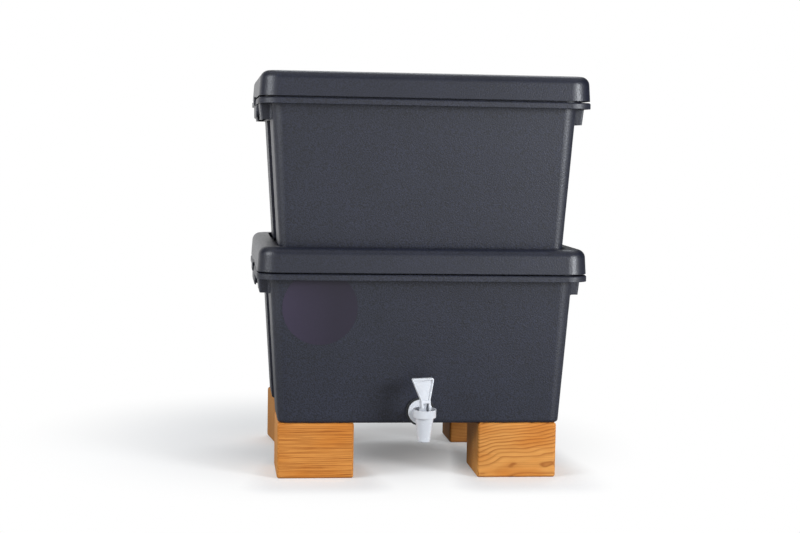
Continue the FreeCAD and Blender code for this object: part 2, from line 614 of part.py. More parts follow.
# Levels of the stack, and the shift along Y that centres the whole object on the origin.

WALL_LEAN = math.atan2(size("WallFlare"), size("WallRise"))
rim_height = value_of(f"{FLANGE_TOP} + RimRise")
lid_seat = value_of("LidHeight - Wall")
stack_pitch = rim_height - lid_seat + value_of("LidHeight - LidRecess")
sump_level = size("BlockHeight")
chamber_level = sump_level + stack_pitch
tap_wall_y = -(size("BaseDepth") / 2 + size("WallFlare") * size("TapRise") / size("WallRise"))
bonnet_top = value_of("BarrelTop + GasketThick + BonnetFloor + BonnetCup")
front_reach = (-tap_wall_y + value_of(f"TapReach + {BONNET_RADIUS}") * math.cos(WALL_LEAN)
               + bonnet_top * math.sin(WALL_LEAN))
back_reach = value_of(f"{LID_DEPTH} / 2 + FlangeReach")
middle = Vector(0, (front_reach - back_reach) / 2, 0)

sump_place = Placement(middle + Vector(0, 0, sump_level), Rotation())
chamber_place = Placement(middle + Vector(0, 0, chamber_level), Rotation())
sump_lid_place = Placement(middle + Vector(0, 0, sump_level + rim_height - lid_seat), Rotation())
top_lid_place = Placement(middle + Vector(0, 0, chamber_level + rim_height - lid_seat), Rotation())

# Sump tub, with the tap's hole square to its leaning front wall.

sump = make_tub("lower_box")
tap_hole = sketch_on(sump, "TapHoleOutline", role="XZ_Plane", height="BaseDepth / 2 + WallFlare")
circle(tap_hole, "ShankRadius + ShankPlay", "TapX", "TapRise")
pocket(sump, "TapHole", tap_hole, "WallFlare + 4 * Wall", upward=False)
finish(sump, sump_place)

# Worm chamber tub, with drain holes through its floor.

chamber = make_tub("upper_box")
hole_grid(chamber, "Drain", "Wall", "DrainHole", "DrainColumns", "DrainRows",
          "DrainPitchX", "DrainPitchY", "2 * Wall")
finish(chamber, chamber_place)

# Lids: the lower one drains into the sump, the upper one lets air in.

sump_lid = make_lid("lower_lid")
hole_grid(sump_lid, "Drain", "LidHeight - LidRecess", "DrainHole", "DrainColumns", "DrainRows",
          "DrainPitchX", "DrainPitchY", "2 * Wall")
finish(sump_lid, sump_lid_place)

top_lid = make_lid("upper_lid")
hole_grid(top_lid, "Air", "LidHeight - LidRecess", "AirHole", "AirColumns", "AirRows",
          "AirPitch", "AirPitch", "2 * Wall")
finish(top_lid, top_lid_place)

# Meshes: one on the chamber's floor over the drain holes, one under the top lid's air holes.

drain_mesh = new_body("drain_mesh")
mesh_outline = sketch_on(drain_mesh, "DrainMeshOutline", height="Wall")
rounded_rectangle(mesh_outline, "BaseLength - 2*RecessDepth - 2*Wall - 2*MeshPlay",
                  "BaseDepth - 2*Wall - 2*MeshPlay", "BaseCorner")
pad(drain_mesh, "DrainMeshSheet", mesh_outline, "MeshThick")
finish(drain_mesh, chamber_place)

vent_mesh = new_body("vent_mesh")
mesh_outline = sketch_on(vent_mesh, "VentMeshOutline", height=f"{PLATE_UNDER} - MeshThick")
rounded_rectangle(mesh_outline, "(AirColumns - 1)*AirPitch + 2*AirMeshMargin",
                  "(AirRows - 1)*AirPitch + 2*AirMeshMargin", "AirMeshMargin / 2")
pad(vent_mesh, "VentMeshSheet", mesh_outline, "MeshThick")
finish(vent_mesh, top_lid_place)

# Label: a bare round sticker, its top cut off under the flange.

label = new_body("label_disc")
label_outline = sketch_on(label, "LabelOutline")
chord = value_of("LabelDrop - LabelTrim")
half_chord = math.sqrt(size("LabelRadius") ** 2 - chord ** 2)
chord_angle = math.atan2(chord, half_chord)
label_circle = Part.Circle(Vector(0, 0, 0), Vector(0, 0, 1), size("LabelRadius"))
label_outline.addGeometry(Part.ArcOfCircle(label_circle, math.pi - chord_angle,
                                           2 * math.pi + chord_angle), False)
label_outline.addGeometry(Part.LineSegment(Vector(half_chord, chord, 0),
                                           Vector(-half_chord, chord, 0)), False)
label_outline.addConstraint(Sketcher.Constraint("Coincident", 0, 3, -1, 1))
label_outline.addConstraint(Sketcher.Constraint("Coincident", 0, 2, 1, 1))
label_outline.addConstraint(Sketcher.Constraint("Coincident", 1, 2, 0, 1))
label_outline.addConstraint(Sketcher.Constraint("Horizontal", 1))
drive(label_outline, Sketcher.Constraint("Radius", 0, size("LabelRadius")), "LabelRadius")
drive(label_outline, Sketcher.Constraint("DistanceY", -1, 1, 1, 1, chord),
      "LabelDrop - LabelTrim")
pad(label, "LabelSheet", label_outline, "LabelThick")
label_x = value_of("LabelInset - BaseLength/2")
label_y = -value_of(f"BaseDepth/2 + WallFlare*{LABEL_RISE}/WallRise")
label_spot = Vector(label_x, label_y, value_of(LABEL_RISE))
face_forward = Rotation(Vector(1, 0, 0), 90 + math.degrees(WALL_LEAN))
finish(label, Placement(sump_place.Base + label_spot, face_forward))

# Foot blocks: each stands a little out of square, as laid by hand.

front_y = value_of("BlockInset + BlockDepth/2 - BaseDepth/2")
rear_y = value_of("BaseDepth/2 + RearOverhang - RearBlockDepth/2")
BLOCKS = [
    ("FrontLeft", "FrontLeftLength", "BlockDepth", -1, front_y),
    ("FrontRight", "FrontRightLength", "BlockDepth", 1, front_y),
    ("RearLeft", "RearBlockLength", "RearBlockDepth", -1, rear_y),
    ("RearRight", "RearBlockLength", "RearBlockDepth", 1, rear_y),
]


def make_block(label, length, depth):
    body = new_body(label)
    footprint = rounded_rectangle(sketch_on(body, "Footprint"), length, depth, "BlockEdge")
    pad(body, "Timber", footprint, "BlockHeight")
    top = size("BlockHeight")
    round_edges(body, "Arrises", "BlockEdge", lambda edge: level(edge, 0.0) or level(edge, top))
    return body


for corner, length, depth, side, y in BLOCKS:
    label_name = re.sub("(Left|Right)", r"_\1_block", corner).lower()
    block = make_block(label_name, length, depth)
    x = side * value_of(f"BaseLength/2 - {corner}Inset - {length}/2")
    turned = Rotation(Vector(0, 0, 1), size(f"{corner}Turn"))
    finish(block, Placement(middle + Vector(x, y, 0), turned))

# Tap. Its own frame has the tub wall's outer face at y = 0, the hole's axis along Y, and the
# spout's axis along Z, TapReach in front of the wall.

tap_place = Placement(sump_place.Base + Vector(size("TapX"), tap_wall_y, size("TapRise")),
                      Rotation(Vector(1, 0, 0), math.degrees(WALL_LEAN)))
spout_place = tap_place * Placement(Vector(0, -size("TapReach"), 0), Rotation())
BONNET_UNDER = "BarrelTop + GasketThick"
BONNET_SEAT = f"{BONNET_UNDER} + BonnetFloor"
PLUG_TOP = "PlugThick - SeatDrop"
FLANGE_FACE = "OuterWasherThick + TapFlangeThick"


def spout_ring(label, corners):
    """Piece turned about the spout's axis. Corners are radius and height."""
    body = new_body(label)
    revolve(body, "Turned", outline(sketch_on(body, "Section", role="XZ_Plane"), corners))
    finish(body, spout_place)
    return body


def shank_ring(label, inner, outer, start, thickness):
    """Flat ring round the shank, from a distance behind the wall's outer face."""
    body = new_body(label)
    ring = sketch_on(body, "Ring", role="XZ_Plane", height=f"0 - ({start})")
    circle(ring, outer)
    circle(ring, inner)
    pad(body, "RingSheet", ring, thickness, reverse=True)
    finish(body, tap_place)
    return body


def make_tap_body():
    body = new_body("tap_body")
    flange = circle(sketch_on(body, "FlangeCircle", role="XZ_Plane", height="OuterWasherThick"),
                    TAP_FLANGE_RADIUS)
    pad(body, "Flange", flange, "TapFlangeThick")
    flange_back = -size("OuterWasherThick") - size("TapFlangeThick")
    round_edges(body, "FlangeRounding", "TapFlangeThick/3",
                lambda edge: abs(edge.BoundBox.YMax - flange_back) < 0.01)
    shank = circle(sketch_on(body, "ShankCircle", role="XZ_Plane", height="OuterWasherThick"),
                   "ShankRadius")
    pad(body, "Shank", shank, "OuterWasherThick + ShankLength", reverse=True)
    root = circle(sketch_on(body, "NeckRoot", role="XZ_Plane", height=FLANGE_FACE),
                  f"{NECK_RADIUS} + NeckRootStep")
    waist = circle(sketch_on(body, "NeckWaist", role="XZ_Plane",
                             height=f"{FLANGE_FACE} + NeckFlare"),
                   NECK_RADIUS, "0", "0 - NeckDrop")
    loft(body, "NeckCone", root, waist)
    neck = circle(sketch_on(body, "NeckCircle", role="XZ_Plane",
                            height=f"{FLANGE_FACE} + NeckFlare"),
                  NECK_RADIUS, "0", "0 - NeckDrop")
    pad(body, "Neck", neck, f"TapReach - NeckFlare - ( {FLANGE_FACE} )")
    barrel = sketch_on(body, "BarrelSection", role="XZ_Plane", height="TapReach")
    outline(barrel, [("0", "0 - SpoutDrop"), (SPOUT_RADIUS, "0 - SpoutDrop"),
                     (BARREL_RADIUS, "BonnetFoot"), (BARREL_RADIUS, "BarrelTop"),
                     ("0", "BarrelTop")])
    revolve(body, "Barrel", barrel)
    spout_foot = -size("SpoutDrop")
    round_edges(body, "MouthRounding", "MouthEdge", lambda edge: level(edge, spout_foot))
    hollow = sketch_on(body, "ChamberSection", role="XZ_Plane", height="TapReach")
    outline(hollow, [("0", "0 - SpoutDrop - Wall"), ("MouthRadius", "0 - SpoutDrop - Wall"),
                     ("MouthRadius", "0 - SeatDrop - SeatThick"),
                     ("SeatBore", "0 - SeatDrop - SeatThick"), ("SeatBore", "0 - SeatDrop"),
                     ("ChamberRadius", "0 - SeatDrop"), ("ChamberRadius", "BarrelTop + Wall"),
                     ("0", "BarrelTop + Wall")])
    revolve(body, "Chamber", hollow, "Groove")
    waterway = circle(sketch_on(body, "WaterwayCircle", role="XZ_Plane", height="0 - ShankLength"),
                      "WaterwayRadius", "0", "0 - WaterwayDrop")
    pocket(body, "Waterway", waterway, "ShankLength + TapReach")
    finish(body, tap_place)
    return body


def make_back_nut():
    body = new_body("back_nut")
    back = "Wall + InnerWasherThick"
    hexagon = sketch_on(body, "Hexagon", role="XZ_Plane", height=f"0 - ({back})")
    flat = "(ShankRadius + NutWall)"
    tip = f"2*{flat}/sqrt(3)"
    side = f"{tip}/2"
    outline(hexagon, [(tip, "0"), (side, flat), (f"0 - {side}", flat), (f"0 - {tip}", "0"),
                      (f"0 - {side}", f"0 - {flat}"), (side, f"0 - {flat}")])
    circle(hexagon, "ShankRadius + ThreadPlay")
    pad(body, "NutBody", hexagon, "NutThick", reverse=True)
    finish(body, tap_place)
    return body


make_tap_body()
shank_ring("outer_washer", "ShankRadius + ThreadPlay", f"{TAP_FLANGE_RADIUS} + OuterWasherLip",
           "0 - OuterWasherThick", "OuterWasherThick")
shank_ring("inner_washer", "ShankRadius + ThreadPlay", "ShankRadius + InnerWasherLip",
           "Wall", "InnerWasherThick")
make_back_nut()
spout_ring("bonnet_gasket", [
    ("ChamberRadius", "BarrelTop"), (BARREL_RADIUS, "BarrelTop"),
    (BARREL_RADIUS, BONNET_UNDER), ("ChamberRadius", BONNET_UNDER)])
spout_ring("tap_bonnet", [
    (f"{BARREL_RADIUS} + ThreadPlay", "BonnetFoot"), (BONNET_RADIUS, "BonnetFoot"),
    (BONNET_RADIUS, f"{BONNET_SEAT} + BonnetCup"),
    (f"{BONNET_RADIUS} - BonnetLip", f"{BONNET_SEAT} + BonnetCup"),
    (f"{BONNET_RADIUS} - BonnetLip", BONNET_SEAT), ("StemRadius + StemPlay", BONNET_SEAT),
    ("StemRadius + StemPlay", BONNET_UNDER), (f"{BARREL_RADIUS} + ThreadPlay", BONNET_UNDER)])
spout_ring("stem_seal", [
    ("0", "0 - SeatDrop - PlugSpigotDrop"), (SPIGOT_RADIUS, "0 - SeatDrop - PlugSpigotDrop"),
    (SPIGOT_RADIUS, "0 - SeatDrop"), (PLUG_RADIUS, "0 - SeatDrop"), (PLUG_RADIUS, PLUG_TOP),
    ("StemRadius + StemPlay", PLUG_TOP), ("StemRadius + StemPlay", f"{PLUG_TOP} - StemSink"),
    ("0", f"{PLUG_TOP} - StemSink")])

# Stem, with the lever's pin hole across its head.

PIN_LEVEL = f"{BONNET_SEAT} + PinRise"
swivel_place = spout_place * Placement(Vector(), Rotation(Vector(0, 0, 1), size("LeverSwivel")))
pin_place = swivel_place * Placement(Vector(0, 0, value_of(PIN_LEVEL)), Rotation())
stem = new_body("tap_stem")
stem_section = outline(sketch_on(stem, "StemSection", role="XZ_Plane"), [
    ("0", f"{PLUG_TOP} - StemSink"), ("StemRadius", f"{PLUG_TOP} - StemSink"),
    ("StemRadius", f"{BONNET_SEAT} + StemPlay"), (STEM_HEAD, f"{BONNET_SEAT} + StemPlay"),
    (STEM_HEAD, f"{PIN_LEVEL} + StemHeadRise"), ("0", f"{PIN_LEVEL} + StemHeadRise")])
revolve(stem, "StemRod", stem_section)
pin_hole = circle(sketch_on(stem, "PinHoleCircle", role="YZ_Plane", height=f"0 - {FOOT_WIDTH}"),
                  "PinRadius + StemPlay", "0", PIN_LEVEL)
pocket(stem, "PinHole", pin_hole, f"2*{FOOT_WIDTH}")
finish(stem, swivel_place)

pin = new_body("lever_pin")
pin_circle = circle(sketch_on(pin, "PinCircle", role="YZ_Plane"), "PinRadius")
pad(pin, "PinRod", pin_circle, f"{FOOT_WIDTH} - 2*StemPlay", midplane=True)
finish(pin, pin_place)

# Return spring, between the plug and the bonnet's floor: round wire along a helix that is
# made of two tangent arcs to each quarter turn.


def helix_point(radius, rise, turns, share):
    angle = 2 * math.pi * turns * share
    return Vector(radius * math.cos(angle), radius * math.sin(angle), rise * share)


def helix_direction(radius, rise, turns, share):
    angle = 2 * math.pi * turns * share
    around = 2 * math.pi * turns * radius
    return Vector(-around * math.sin(angle), around * math.cos(angle), rise).normalize()


def arc_with_knee(start, knee, end):
    """Arc whose tangents at its two ends meet at the knee."""
    middle = (start + end) / 2
    half = (end - start).Length / 2
    outward = knee - middle
    radius = (knee - start).Length * half / outward.Length
    sagitta = radius - math.sqrt(radius ** 2 - half ** 2)
    return Part.Arc(start, middle + outward.normalize() * sagitta, end).toShape()


def coil_path(radius, rise, turns):
    edges = []
    quarters = 4 * turns
    for quarter in range(quarters):
        shares = (quarter / quarters, (quarter + 1) / quarters)
        start, end = (helix_point(radius, rise, turns, share) for share in shares)
        leave, arrive = (helix_direction(radius, rise, turns, share) for share in shares)
        span = end - start
        both = leave + arrive
        turned = 2 * (1 - leave.dot(arrive))
        along = span.dot(both)
        reach = (math.sqrt(along ** 2 + turned * span.dot(span)) - along) / turned
        knee = start + leave * reach
        elbow = end - arrive * reach
        joint = (knee + elbow) / 2
        edges.append(arc_with_knee(start, knee, joint))
        edges.append(arc_with_knee(joint, elbow, end))
    return Part.Wire(edges)


spring_radius = value_of(SPRING_RADIUS)
spring_rise = value_of(f"{BONNET_UNDER} - ({PLUG_TOP}) - 2*SpringPlay - 2*SpringWire")
spring_turns = int(size("SpringTurns"))
spring_start = helix_point(spring_radius, spring_rise, spring_turns, 0)
spring_way = helix_direction(spring_radius, spring_rise, spring_turns, 0)
wire_circle = Part.Circle(spring_start, spring_way, size("SpringWire"))
spring = doc.addObject("Part::Feature", "return_spring")
spring.Label = "return_spring"
spring.Shape = coil_path(spring_radius, spring_rise, spring_turns).makePipeShell(
    [Part.Wire(wire_circle.toShape())], True, False)
spring_foot = value_of(f"{PLUG_TOP} + SpringPlay + SpringWire")
finish(spring, spout_place * Placement(Vector(0, 0, spring_foot), Rotation()))

# Lever. Its own frame has the pin at the origin. The foot's cam is one arc: its lowest point
# is PinRise below the pin with the lever upright, and Lift more with the lever right forward.


def make_lever():
    body = new_body("tap_lever")
    cam_radius = "PinRise + Lift/2 - CamGap"
    drop = "sqrt(pow(PinRise + Lift/2 - CamGap; 2) - pow(FootBack + Lift/2; 2))"
    radius = value_of(cam_radius)
    centre = Vector(-value_of("Lift/2"), value_of("Lift/2"), 0)
    back = size("FootBack")
    heel = Vector(back, centre.y - value_of(drop), 0)
    toe = Vector(centre.x - radius, centre.y, 0)
    foot = sketch_on(body, "FootSection", role="YZ_Plane")
    shin = Vector(-size("ShinReach"), size("BladeFoot"), 0)
    calf = Vector(back, size("BladeFoot"), 0)
    cam = Part.Circle(centre, Vector(0, 0, 1), radius)
    heel_angle = math.atan2(heel.y - centre.y, heel.x - centre.x)
    foot.addGeometry(Part.ArcOfCircle(cam, -math.pi, heel_angle), False)
    foot.addGeometry(Part.LineSegment(heel, calf), False)
    foot.addGeometry(Part.LineSegment(calf, shin), False)
    foot.addGeometry(Part.LineSegment(shin, toe), False)
    for line in (1, 2, 3):
        foot.addConstraint(Sketcher.Constraint("Coincident", line - 1, 2, line, 1))
    foot.addConstraint(Sketcher.Constraint("Coincident", 3, 2, 0, 1))
    foot.addConstraint(Sketcher.Constraint("Vertical", 1))
    foot.addConstraint(Sketcher.Constraint("Horizontal", 2))
    drive(foot, Sketcher.Constraint("Radius", 0, radius), cam_radius)
    drive(foot, Sketcher.Constraint("DistanceX", 0, 3, -1, 1, -centre.x), "Lift/2")
    drive(foot, Sketcher.Constraint("DistanceY", -1, 1, 0, 3, centre.y), "Lift/2")
    drive(foot, Sketcher.Constraint("DistanceX", -1, 1, 1, 1, back), "FootBack")
    drive(foot, Sketcher.Constraint("DistanceY", -1, 1, 1, 2, calf.y), "BladeFoot")
    drive(foot, Sketcher.Constraint("DistanceX", 2, 2, -1, 1, -shin.x), "ShinReach")
    drive(foot, Sketcher.Constraint("DistanceY", -1, 1, 3, 2, toe.y), "Lift/2")
    pad(body, "Foot", foot, FOOT_WIDTH, midplane=True)
    low = blade_section(body, "BladeFootSection", "BladeFoot", f"{FOOT_WIDTH}/2",
                        "0 - ShinReach", "FootBack")
    high = blade_section(body, "BladeTopSection", "BladeRise", "BladeWidth/2",
                         "BladeLean - ShinReach", "BladeLean - ShinReach + BladeThick")
    loft(body, "Blade", low, high)
    top = size("BladeRise")
    round_edges(body, "TopCorners", "BladeCorner", lambda edge: level(edge, top)
                and edge.BoundBox.XLength < 0.01)
    low = blade_section(body, "FieldFootSection", "BladeFoot", f"{FOOT_WIDTH}/2 - BladeRim",
                        "0 - ShinReach - Wall", "FieldDepth - ShinReach")
    high = blade_section(body, "FieldTopSection", "BladeRise - BladeRim",
                         "BladeWidth/2 - BladeRim", "BladeLean - ShinReach - Wall",
                         "BladeLean - ShinReach + FieldDepth")
    loft(body, "Field", low, high, "Subtractive")
    slot = sketch_on(body, "SlotSection", role="YZ_Plane")
    outline(slot, [("0 - 4*PinRise", "0 - 4*PinRise"), ("4*PinRise", "0 - 4*PinRise"),
                   ("4*PinRise", "SlotRise"), ("0 - 4*PinRise", "SlotRise")])
    cut = body.newObject("PartDesign::Pocket", "Slot")
    cut.Profile = slot
    cut.Midplane = True
    cut.setExpression("Length", expr(FOOT_SLOT))
    hole = circle(sketch_on(body, "LeverPinHole", role="YZ_Plane", height=f"0 - {FOOT_WIDTH}"),
                  "PinRadius + StemPlay")
    pocket(body, "PinHoles", hole, f"2*{FOOT_WIDTH}")
    finish(body, pin_place)


def blade_section(body, name, height, half_width, front, back):
    """Level rectangle across the blade."""
    return outline(sketch_on(body, name, height=height), [
        (f"0 - ({half_width})", front), (half_width, front), (half_width, back),
        (f"0 - ({half_width})", back)])


make_lever()

doc.recompute()
faults = [f"{item.Name}: {item.getStatusString()}" for item in doc.Objects
          if "Invalid" in item.State or "Error" in item.State]
for node in nodes:
    shape = node.Shape
    if shape.isNull() or not shape.isValid() or len(shape.Solids) != 1:
        faults.append(f"{node.Label}: no single valid solid")
if faults:
    raise RuntimeError("\n".join(faults))
os.makedirs("parts", exist_ok=True)
for node in nodes:
    node.Shape.exportStep(f"parts/{node.Label}.step")
    print(node.Label, round(node.Shape.Volume, 1))
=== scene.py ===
import math

import bmesh
import bpy
from bpy.props import FloatProperty, FloatVectorProperty, PointerProperty
from mathutils import Matrix, Vector


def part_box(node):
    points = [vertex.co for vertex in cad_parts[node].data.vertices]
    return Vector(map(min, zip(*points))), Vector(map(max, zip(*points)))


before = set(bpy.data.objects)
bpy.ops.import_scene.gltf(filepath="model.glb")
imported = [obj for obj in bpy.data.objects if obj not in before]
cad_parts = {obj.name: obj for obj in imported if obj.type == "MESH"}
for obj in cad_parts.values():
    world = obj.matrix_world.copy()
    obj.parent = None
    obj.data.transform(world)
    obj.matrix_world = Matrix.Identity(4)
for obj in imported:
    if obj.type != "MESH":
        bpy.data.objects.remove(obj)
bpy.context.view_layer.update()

bl_info = {
    "name": "Two-tier wormery",
    "version": (1, 0, 0),
    "blender": (4, 5, 0),
    "location": "View3D > Sidebar > Wormery",
    "description": "Finishes and studio stage for a wormery of stacked tubs",
    "category": "Object",
}

MM = 0.001
# The photograph's width in pixels and the camera's sensor in millimetres.
PHOTO_WIDTH = 800
SENSOR_WIDTH = 36.0
BLACK = (0.0, 0.0, 0.0)
WHITE = (1.0, 1.0, 1.0)


def linear(hex_colour):
    """Linear light from an sRGB hex colour."""
    channels = (int(hex_colour[place:place + 2], 16) / 255 for place in (1, 3, 5))
    return tuple(c / 12.92 if c <= 0.04045 else ((c + 0.055) / 1.055) ** 2.4 for c in channels)


def colour(name, description, hex_colour):
    """Setting that holds a colour."""
    return FloatVectorProperty(name=name, description=description, subtype="COLOR", size=3,
                               min=0.0, max=1.0, default=linear(hex_colour))


def length(name, description, millimetres):
    """Setting that holds a size, written here in millimetres."""
    return FloatProperty(name=name, description=description, default=millimetres * MM,
                         min=0.0, unit="LENGTH", subtype="DISTANCE")


def angle(name, description, radians):
    """Setting that holds an angle."""
    return FloatProperty(name=name, description=description, default=radians,
                         unit="ROTATION", subtype="ANGLE")


def power(name, description, watts):
    """Setting that holds a lamp's power."""
    return FloatProperty(name=name, description=description, default=watts, min=0.0,
                         unit="POWER")


class WormeryPlastics(bpy.types.PropertyGroup):
    """Colours and grain of the tubs, lids, label, tap and seals."""

    charcoal: colour("Charcoal", "Moulded tubs and lids", "#222533")
    charcoal_light: colour("Charcoal, lighter", "Lighter clouds in the moulding", "#272a39")
    pebble: length("Pebble", "Size of the moulded pebble grain", 2.0)
    cloud: length("Cloud", "Size of the faint clouds in the plastic's colour", 70.0)
    label_film: colour("Label film", "Bare round label", "#241f2e")
    # Painted sheen: the lighter, more violet colour painted over the label's left side.
    label_painted_sheen: colour("Label film, thin", "Left side of the label, where its print is thin",
                       "#332c3f")
    tap_white: colour("Tap white", "Glossy white tap", "#d5d7dc")
    rubber: colour("Rubber", "Washers, seals and gasket", "#1b1c1e")
    rubber_bloom: colour("Rubber bloom", "Paler bloom on the rubber", "#3b3d40")


class WormeryTimber(bpy.types.PropertyGroup):
    """Colours and grain of the foot blocks."""

    earlywood: colour("Earlywood", "Pale wood between the year rings", "#dc9c52")
    latewood: colour("Latewood", "Dark line of each year ring", "#94501a")
    varnish: colour("Varnish", "Where the honey stain lies thicker", "#c8782a")
    end_grain: colour("End grain", "Sawn ends, which drink more stain", "#c48f50")
    # Painted shade: this darker brown is mixed over the rear blocks, which stand in the tub's
    # shadow.
    shade_brown: colour("Heartwood", "Darker wood near the pith", "#6e4419")
    fibre: length("Fibre", "Width of the fine fibres", 0.9)
    fibre_length: length("Fibre length", "Length of the streaks that the fibres make", 60.0)


class WormeryWire(bpy.types.PropertyGroup):
    """Steel of the meshes, the pin and the spring, and the meshes' weave."""

    wire_dull: colour("Wire, dull", "Dull streaks of the drawn wire", "#b9bbbf")
    wire_bright: colour("Wire, bright", "Bright streaks of the drawn wire", "#d6d8dc")
    mesh_steel: colour("Mesh steel", "Wires of the meshes", "#b4b6ba")
    mesh_pitch: length("Mesh pitch", "From one wire of the mesh to the next", 1.6)
    mesh_wire: length("Mesh wire", "Thickness of the mesh's wires", 0.5)


class WormeryStudio(bpy.types.PropertyGroup):
    """Camera, lamps and room."""

    camera_place: FloatVectorProperty(name="Camera place", size=3, subtype="TRANSLATION",
                                      unit="LENGTH", default=(-0.27996, -2.30977, 0.45117),
                                      description="Camera from the floor under the object's middle")
    camera_yaw: angle("Yaw", "Camera's turn to the left of +Y", -0.1146)
    camera_pitch: angle("Pitch", "Camera's tilt upwards", -0.0754)
    camera_roll: angle("Roll", "Camera's roll about its view", 0.0173)
    focal_pixels: FloatProperty(name="Focal length in pixels", default=1638.0, min=1.0,
                                description="Focal length in pixels of the 800 pixel wide frame")
    lamp_tint: colour("Lamp tint", "Daylight-balanced lamps, a little cool", "#f7fbff")
    key_lamp: power("Key lamp", "Power of the low lamp at the right", 66.0)
    fill_lamp: power("Fill lamp", "Power of the lamp at the left", 50.0)
    back_lamp: power("Back lamp", "Power of the lamp over the floor behind", 16.0)
    room_light: FloatProperty(name="Room light", description="Light that the room adds all round",
                              default=0.32, min=0.0)


def add_node(tree, kind, *values, **named):
    """Adds a node. The values fill its open inputs in order. Of the named ones, those with a
    small first letter are the node's settings and the others are inputs, with _ for a space.
    A value is a number, a colour, an output socket, or a node that gives its first output."""
    node = tree.nodes.new("ShaderNode" + kind)
    for name, value in named.items():
        if name[0].islower():
            setattr(node, name, value)
    filled = list(zip((socket for socket in node.inputs if socket.enabled), values))
    filled += [(node.inputs[name.replace("_", " ")], value)
               for name, value in named.items() if name[0].isupper()]
    for socket, value in filled:
        if isinstance(value, bpy.types.Node):
            value = next(output for output in value.outputs if output.enabled)
        if isinstance(value, bpy.types.NodeSocket):
            tree.links.new(value, socket)
        else:
            socket.default_value = (*value, 1.0) if socket.type == "RGBA" else value
    return node


def new_material(name):
    """Material with an empty node tree, and the place on the piece that its pattern follows."""
    material = bpy.data.materials.new(name)
    material.use_nodes = True
    tree = material.node_tree
    tree.nodes.clear()
    return material, tree, add_node(tree, "TexCoord").outputs["Object"]


def paint(material, *node_names):
    """Gives CAD nodes a finish."""
    for name in node_names:
        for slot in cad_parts[name].material_slots:
            slot.material = material


def moulded_polypropylene(settings, name, shaded_hollow, crest, matt):
    """Recycled polypropylene from a spark-eroded mould: a near-black charcoal with a pebble
    grain, half matt, so it shows soft streaks of light along its rounded corners and pale
    faces where it is seen at a slant. The grain's hollows are darkened with painted shade: its
    hollows and crests show the given shares of the colour, and matt is the roughness between
    them. The real grain is about 1 mm, which is too fine to show from where the object is seen,
    so it is drawn coarser."""
    material, tree, place = new_material(name)
    clouds = add_node(tree, "TexNoise", place, Scale=1 / settings.cloud, Detail=3.0)
    cloud_share = add_node(tree, "MapRange", clouds, 0.3, 0.7)
    body = add_node(tree, "Mix", cloud_share, settings.charcoal, settings.charcoal_light,
                    data_type="RGBA")
    speck = add_node(tree, "TexNoise", place, Scale=1.2 / settings.pebble, Detail=1.0)
    # Painted shade: the colour darkens where this noise is low, which is where the bump sinks the
    # pebble grain's hollows.
    grain_shade_share = add_node(tree, "MapRange", speck, 0.38, 0.62, shaded_hollow, crest)
    grain_shaded = add_node(tree, "Mix", grain_shade_share, BLACK, body, data_type="RGBA")
    polish = add_node(tree, "MapRange", speck, 0.3, 0.7, matt + 0.04, matt - 0.04)
    pits = add_node(tree, "TexVoronoi", place, feature="SMOOTH_F1",
                    Scale=1 / settings.pebble, Smoothness=0.3)
    sunk = add_node(tree, "Math", pits, -1.0, operation="MULTIPLY")
    height = add_node(tree, "Math", speck, 0.6, sunk, operation="MULTIPLY_ADD")
    rounded = add_node(tree, "Bevel", 0.9 * MM, samples=6)
    bump = add_node(tree, "Bump", Strength=0.7, Distance=0.2 * MM, Height=height, Normal=rounded)
    shader = add_node(tree, "BsdfPrincipled", Base_Color=grain_shaded, Roughness=polish, IOR=1.49,
                      Normal=bump)
    add_node(tree, "OutputMaterial", shader)
    return material


def label_vinyl(settings):
    """Printed vinyl film: smooth and a little glossier than the tub, with the tub's pebbles
    only faintly felt through it. Its left side is painted lighter and more violet, fading out
    towards the right: a painted sheen."""
    material, tree, place = new_material("label_vinyl")
    low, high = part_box("label_disc")
    # Painted sheen: the film is painted lighter from its left edge, fading to its own colour 0.7 of
    # the way across.
    sheen_share = 0.7
    sheen_end = low[0] + sheen_share * (high[0] - low[0])
    across = add_node(tree, "SeparateXYZ", place).outputs["X"]
    sheen_fade = add_node(tree, "MapRange", across, low[0], sheen_end)
    film = add_node(tree, "Mix", sheen_fade, settings.label_painted_sheen, settings.label_film,
                    data_type="RGBA")
    felt = add_node(tree, "TexNoise", place, Scale=1 / settings.pebble, Detail=1.0)
    felt_share = add_node(tree, "MapRange", felt, 0.3, 0.7, 0.92, 1.0)
    tint = add_node(tree, "Mix", felt_share, BLACK, film, data_type="RGBA")
    bump = add_node(tree, "Bump", Strength=0.12, Distance=0.05 * MM, Height=felt)
    shader = add_node(tree, "BsdfPrincipled", Base_Color=tint, Roughness=0.4, IOR=1.5,
                      Specular_IOR_Level=0.4, Normal=bump)
    add_node(tree, "OutputMaterial", shader)
    return material


def glossy_polypropylene(settings):
    """Natural white polypropylene from a polished mould: glossy, and waxy because light
    scatters a little way into it. Flow marks a few millimetres long stir its surface."""
    material, tree, place = new_material("glossy_white_polypropylene")
    flow = add_node(tree, "TexNoise", place, Scale=1 / (6 * MM), Detail=2.0)
    flow_share = add_node(tree, "MapRange", flow, 0.3, 0.7, 0.965, 1.0)
    tint = add_node(tree, "Mix", flow_share, BLACK, settings.tap_white, data_type="RGBA")
    polish = add_node(tree, "MapRange", flow, 0.3, 0.7, 0.2, 0.28)
    rounded = add_node(tree, "Bevel", 0.35 * MM, samples=6)
    bump = add_node(tree, "Bump", Strength=0.08, Distance=0.05 * MM, Height=flow, Normal=rounded)
    shader = add_node(tree, "BsdfPrincipled", Base_Color=tint, Roughness=polish, IOR=1.49,
                      Subsurface_Weight=0.35, Subsurface_Radius=(1.0, 0.95, 0.9),
                      Subsurface_Scale=2.0 * MM, Normal=bump)
    add_node(tree, "OutputMaterial", shader)
    return material


